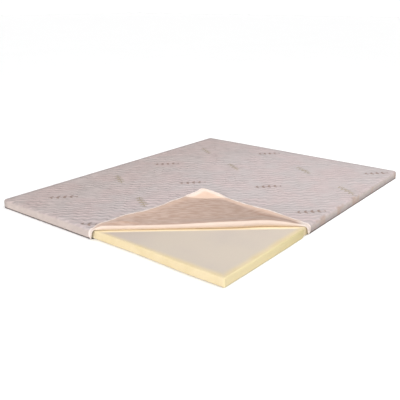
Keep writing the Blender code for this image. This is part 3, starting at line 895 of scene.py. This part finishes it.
def foam_finish():
    """Open-cell foam: fine pores, a greyer skin on top, cream cut sides. Painted shadow and
    painted light by the roll, painted light at the front mouth, painted shade on the right face.
    """
    finish = Finish("open_cell_foam", 0.92)
    x, y, z = finish.place("Object")
    place = finish.vector(x, y, z)
    cell = finish.pores(place, 420.0)
    cloud = finish.noise(place, 3.2, 3.0)
    patch = finish.noise(place, 11.0, 3.0)
    inside = (WIDTH / 2 - x).use("MINIMUM", y + LENGTH / 2)
    skin = (inside + (patch - 0.5) * 0.02).ramp(0.006, 0.046) * z.ramp(0.036, 0.046)
    outward = float(CREASE[1] @ INWARD) - (x * INWARD[0] + y * INWARD[1])
    # Painted light just in front of the roll
    by_roll = 1.0 - outward.ramp(0.012, 0.034)
    # Painted shadow of the roll on the foam's top
    by_front = (1.0 - outward.ramp(0.03, 0.16)) * (1.0 - x.ramp(0.05, 0.42))
    on_right = x.ramp(WIDTH / 2 - 0.008, WIDTH / 2 - 0.002)
    front = finish.mix(patch.ramp(0.3, 0.7), *FOAM_FRONT)
    # Painted light where the cover's edge shadows the foam's front
    shaded = 1.0 - x.ramp(MOUTH_FRONT_X + 0.001, MOUTH_FRONT_X + 0.013)
    front = finish.mix(shaded * 0.85, front, FOAM_AT_MOUTH_PAINTED_LIGHT)
    # Painted shade on the foam's right face towards the side mouth
    right = finish.mix(y.ramp(-0.95, -0.35), *FOAM_RIGHT)
    right = finish.mix(y.ramp(-0.55, -0.22), right, FOAM_RIGHT_END_PAINTED_SHADE)
    side = finish.mix(on_right, front, right)
    top = finish.mix(cloud.ramp(0.35, 0.65), *FOAM_SKIN)
    top = finish.mix(by_front * 0.35, top, FOAM_TOP_PAINTED_SHADOW)
    top = finish.mix(by_roll * 0.90, top, FOAM_BY_ROLL_PAINTED_LIGHT)
    colour = finish.mix(skin, side, top)
    colour = finish.shade(colour, cell * 0.10 + 0.95)
    return finish.finish(colour, cell * 0.0007 + patch * 0.0010)


def tape_finish():
    """Pale woven tape: ribs along it, twill across, one row of stitches."""
    finish = Finish("woven_tape", 0.8)
    length, across, _ = finish.place("UV", "weave")
    rib = across.wave(TAPE_RIB)
    twill = (length + across).wave(TAPE_TWILL)
    _, dash = length.cell(THREAD_PITCH)
    dash = (THREAD_HALF_LENGTH - dash.use("ABSOLUTE")).ramp(-0.0002, 0.0002)
    row = (THREAD_HALF_WIDTH - (across - THREAD_ROW).use("ABSOLUTE")).ramp(-0.0002, 0.0002)
    stitch = dash * row
    uneven = finish.noise(finish.vector(length, 0.0, 0.0), 16.0, 2.0)
    cloth = finish.mix(uneven.ramp(0.40, 0.62), *TAPE_CREAMS)
    colour = finish.mix(stitch, cloth, THREAD)
    colour = finish.shade(colour, rib * 0.03 + (twill * 0.02 + 1.0))
    return finish.finish(colour, rib * 0.00012 + twill * 0.00010 + stitch * 0.0003)


def base_finish():
    """Plain dark cloth of the underside: threads over and under each other."""
    finish = Finish("base_woven_cloth", 0.9)
    x, y, z = finish.place("Object")
    place = finish.vector(x, y, z)
    weave = x.wave(BASE_WEAVE) * y.wave(BASE_WEAVE)
    cloud = finish.noise(place, 30.0, 3.0)
    colour = finish.mix(cloud.ramp(0.3, 0.7), *BASE_BROWNS)
    colour = finish.shade(colour, weave * 0.12 + 1.0)
    return finish.finish(colour, weave * 0.00025)


def floor_finish():
    """Plain pale floor with a trace of unevenness."""
    finish = Finish("pale_floor", 0.9)
    x, y, z = finish.place("Object")
    cloud = finish.noise(finish.vector(x, y, z), 0.8, 2.0)
    colour = finish.mix(cloud, *FLOOR_WHITES)
    return finish.finish(colour, cloud * 0.0)


def knit_cover():
    """Cover's upper in one cloth: body and folded corner, knit out, tan in."""
    rows = sum(BODY_ROWS.values())
    columns = sum(columns for _, columns, _ in STRETCHES)
    body, body_cloth = body_surface(*grid(rows, columns))
    flap_rows = sum(FLAP_ROWS.values())
    flap_columns_count = len(flap_columns()) - 1
    flap, flap_cloth, fold = flap_surface(*grid(flap_rows, flap_columns_count))
    points = np.concatenate([body, flap])
    faces = np.concatenate(
        [grid_faces(rows, columns), grid_faces(flap_rows, flap_columns_count, len(body))]
    )
    maps = {
        "cloth": np.concatenate([body_cloth, flap_cloth]),
        "fold": np.concatenate([np.ones_like(body_cloth), fold]),
    }
    piece = make_mesh("knit_cover", points, faces, maps)
    weld(piece, 0.00002)
    piece.data.materials.append(knit_finish())
    piece.data.materials.append(lining_finish())
    solid = thicken(piece, CLOTH)
    solid.material_offset = 1
    solid.material_offset_rim = 1
    return piece


def sewn_tape():
    """Tape along the opened edge, from the front mouth to the side mouth."""
    columns = len(flap_columns()) - 1
    points, weave = tape_surface(*grid(TAPE_ROWS, columns))
    piece = make_mesh("sewn_tape", points, grid_faces(TAPE_ROWS, columns), {"weave": weave})
    piece.data.materials.append(tape_finish())
    thicken(piece, TAPE_CLOTH)
    return piece


def outline(open_radius, radius, straight, bend):
    """Rounded rectangle, each corner a quarter circle: points and outward ways."""
    signs = np.array([(1, -1), (1, 1), (-1, 1), (-1, -1)])
    radii = np.array([open_radius, radius, radius, radius])
    centres = signs * (np.array([WIDTH, LENGTH]) / 2 - radii[:, None])
    points = []
    outward = []
    for corner in range(4):
        angle = (np.linspace(0, 1, bend + 1) + corner - 1) * math.pi / 2
        way = np.stack([np.cos(angle), np.sin(angle)], axis=-1)
        arc = centres[corner] + radii[corner] * way
        following = (corner + 1) % 4
        share = np.linspace(0, 1, straight + 1)[1:-1, None]
        run = arc[-1] + (centres[following] + radii[following] * way[-1] - arc[-1]) * share
        points += [arc, run]
        outward += [way, np.repeat(way[-1:], len(run), axis=0)]
    return np.concatenate(points), np.concatenate(outward)


def closed_rings(name, rings):
    """Closed piece from rings of points, shut by a cone at each end."""
    count = len(rings[0])
    poles = [ring.mean(axis=0) for ring in (rings[0], rings[-1])]
    poles = [np.repeat(pole[None], count, axis=0) for pole in poles]
    rings = [poles[0], *rings, poles[1]]
    piece = make_mesh(name, np.concatenate(rings), ring_faces(len(rings), count), {})
    weld(piece, 0.00001)
    return piece


def ring(points, outward, inset, height):
    """One ring: the outline drawn in, at its height."""
    plan = points - outward * np.reshape(inset, (-1, 1))
    return np.column_stack([plan, np.broadcast_to(height, len(plan))])


def bareness(points):
    """0 where the cover hides the slab's edge, 1 along the opened corner."""
    x, y = points.T
    along_front = smooth(part_of(x, MOUTH_FRONT_X - 0.03, MOUTH_FRONT_X + 0.02))
    along_side = smooth(part_of(-y, -MOUTH_SIDE_Y + 0.032, -MOUTH_SIDE_Y + 0.070))
    return along_front * along_side


def foam_slab():
    """Foam core: the outline carried up a profile with rounded edges.

    The cut side waves in and out by a fraction of a millimetre.
    """
    points, outward = outline(FOAM_BARE_CORNER, FOAM_CORNER, 120, 8)
    bare = bareness(points)
    x, y = points.T
    on_front = y < -LENGTH / 2 + FOAM_CORNER
    drawn = smooth(part_of(x, -0.62, -0.10)) * (1 - smooth(part_of(x, 0.22, 0.64)))
    inset = FOAM_SIDE_CLEAR * (1 - bare)
    inset = np.where(on_front, np.maximum(inset, FOAM_DRAWN_IN * drawn), inset)
    on_side = (x > WIDTH / 2 - FOAM_BARE_CORNER) & (y < 0)
    inset = inset - FOAM_BULGE * bare * on_side * smooth(part_of(y, -1.0, -0.6))
    inset = inset + 0.0004 * (1 + np.sin(19 * x + 3) * np.sin(23 * y + 1))
    edge = FOAM_EDGE_COVERED + (FOAM_EDGE_BARE - FOAM_EDGE_COVERED) * bare
    low = CLOTH + CLEAR
    high = HEIGHT - CLOTH - FOAM_TOP_CLEAR - WAVE
    rings = []
    for angle in np.radians(np.linspace(90, 0, 5)):
        drawn_in = inset + FOAM_EDGE_BARE * (1 - math.cos(angle))
        rings.append(ring(points, outward, drawn_in, low + FOAM_EDGE_BARE * (1 - math.sin(angle))))
    for share in (0.25, 0.5, 0.75):
        middle = low + FOAM_EDGE_BARE + (high - edge - low - FOAM_EDGE_BARE) * share
        rings.append(ring(points, outward, inset, middle))
    for angle in np.radians(np.linspace(0, 90, 7)):
        drawn_in = inset + edge * (1 - math.cos(angle))
        rings.append(ring(points, outward, drawn_in, high - edge * (1 - math.sin(angle))))
    for reach in (0.04, 0.12, 0.3, 0.6):
        rings.append(rings[-1] * [1 - reach / 2, 1 - reach / 2, 1])
    piece = closed_rings("foam_slab", rings)
    piece.data.materials.append(foam_finish())
    return piece


def base_cloth():
    """Underside of the cover: a flat sheet whose edge turns up to the seam."""
    points, outward = outline(BASE_BARE_CORNER, BASE_CORNER, 120, 10)
    x, y = points.T
    front = part_of(x, MOUTH_FRONT_X - 0.034, MOUTH_FRONT_X - 0.010)
    side = part_of(-y, -MOUTH_SIDE_Y - 0.034, -MOUTH_SIDE_Y - 0.010)
    flat = smooth(front) * smooth(side)
    inset = BASE_BARE_INSET * smooth(
        part_of(x, MOUTH_FRONT_X - 0.014, MOUTH_FRONT_X + 0.03)
    ) * smooth(part_of(-y, -MOUTH_SIDE_Y - 0.014, -MOUTH_SIDE_Y + 0.03))
    rim = (SEAM_HEIGHT - CLEAR) + (CLOTH - (SEAM_HEIGHT - CLEAR)) * flat
    rings = [
        ring(points, outward, inset + 3 * BASE_TURN, 0.0),
        ring(points, outward, inset + BASE_TURN, 0.0),
        ring(points, outward, inset + 0.3 * BASE_TURN, BASE_TURN * 0.15),
        ring(points, outward, inset, BASE_TURN / 2),
        ring(points, outward, inset, rim - 0.0004),
        ring(points, outward, inset + 0.0004, rim),
        ring(points, outward, inset + CLOTH, rim),
        ring(points, outward, inset + CLOTH + BASE_TURN, CLOTH),
    ]
    piece = closed_rings("base_cloth", rings)
    piece.data.materials.append(base_finish())
    return piece


# Light: a dim dome over a bright horizon, a broad overhead light and a low key
DOME = 0.50
HORIZON = 1.05
OVERHEAD = 0.95
KEY = 2.00
LAMP = 44.0
LAMP_PLACE = (2.1, 0.5, 2.6)
LAMP_SIDE = 2.5
KEY_TURN = math.radians(8)
KEY_RISE = math.radians(22)


def add_sun(name, strength, spread, turn, rise):
    """Distant light: it comes from turn degrees off -Y towards +X, at a rise."""
    light = bpy.data.lights.new(name, "SUN")
    light.energy = strength
    light.angle = spread
    lamp = bpy.data.objects.new(name, light)
    lamp.rotation_euler = (math.pi / 2 - rise, 0.0, turn)
    bpy.context.scene.collection.objects.link(lamp)


def add_lamp(name, power, side, place):
    """Square soft box at a place, turned to the origin."""
    light = bpy.data.lights.new(name, "AREA")
    light.energy = power
    light.size = side
    lamp = bpy.data.objects.new(name, light)
    lamp.location = place
    lamp.rotation_euler = Vector(place).to_track_quat("Z", "Y").to_euler()
    bpy.context.scene.collection.objects.link(lamp)


def studio():
    """Pale floor, soft lights and a world that is bright at the horizon."""
    points = np.array([(-40, -40, 0), (40, -40, 0), (40, 40, 0), (-40, 40, 0)], float)
    floor = make_mesh("floor", points, np.array([[0, 1, 2, 3]]), {})
    floor.data.materials.append(floor_finish())
    add_sun("overhead_light", OVERHEAD, math.radians(75), 0.0, math.radians(84))
    add_sun("key_light", KEY, math.radians(24), KEY_TURN, KEY_RISE)
    add_lamp("soft_box", LAMP, LAMP_SIDE, LAMP_PLACE)
    world = bpy.data.worlds.new("studio")
    world.use_nodes = True
    tree = world.node_tree
    split = tree.nodes.new("ShaderNodeSeparateXYZ")
    coordinates = tree.nodes.new("ShaderNodeTexCoord")
    tree.links.new(coordinates.outputs["Generated"], split.inputs[0])
    rise = Number(tree, split.outputs[2]).ramp(0.14, 0.34)
    brightness = HORIZON + rise * (DOME - HORIZON)
    feed(tree, tree.nodes["Background"].inputs["Strength"], brightness)
    tree.nodes["Background"].inputs["Color"].default_value = (1.0, 1.0, 1.0, 1.0)
    bpy.context.scene.world = world
    bpy.context.scene.view_settings.view_transform = "Standard"


def camera():
    """Camera at the photograph's angle, aimed by its own back direction."""
    data = bpy.data.cameras.new("camera")
    data.sensor_width = 36.0
    data.lens = LENS
    data.clip_end = 200.0
    eye = bpy.data.objects.new("camera", data)
    back = np.array(EYE) - np.array(AIM)
    level = math.hypot(back[0], back[1])
    eye.location = EYE
    eye.rotation_euler = (
        math.pi / 2 - math.atan2(back[2], level),
        0.0,
        math.atan2(back[0], -back[1]),
    )
    bpy.context.scene.collection.objects.link(eye)
    bpy.context.scene.camera = eye


def dress():
    """Make every piece, join it to the frame and hide the imported part it stands for."""
    foam = foam_slab()
    base = base_cloth()
    cover = knit_cover()
    tape = sewn_tape()
    for piece, node, slot in (
        (foam, "foam_core", "foam"),
        (base, "base_panel", "base_cloth"),
        (cover, "cover_upper", "cover_knit"),
        (tape, "edge_tape", "edge_tape"),
    ):
        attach(piece, "root")
        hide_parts(node)
    flat = (2 * (EDGE_X + STRIP), 2 * (EDGE_Y + STRIP))
    flat[0] * flat[1] - 4 * STRIP ** 2


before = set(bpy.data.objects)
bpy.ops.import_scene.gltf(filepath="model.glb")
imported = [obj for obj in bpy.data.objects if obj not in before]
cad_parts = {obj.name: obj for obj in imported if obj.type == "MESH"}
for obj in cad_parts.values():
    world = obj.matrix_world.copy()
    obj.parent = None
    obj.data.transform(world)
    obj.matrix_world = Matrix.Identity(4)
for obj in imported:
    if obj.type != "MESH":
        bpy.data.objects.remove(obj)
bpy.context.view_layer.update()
studio()
camera()
dress()
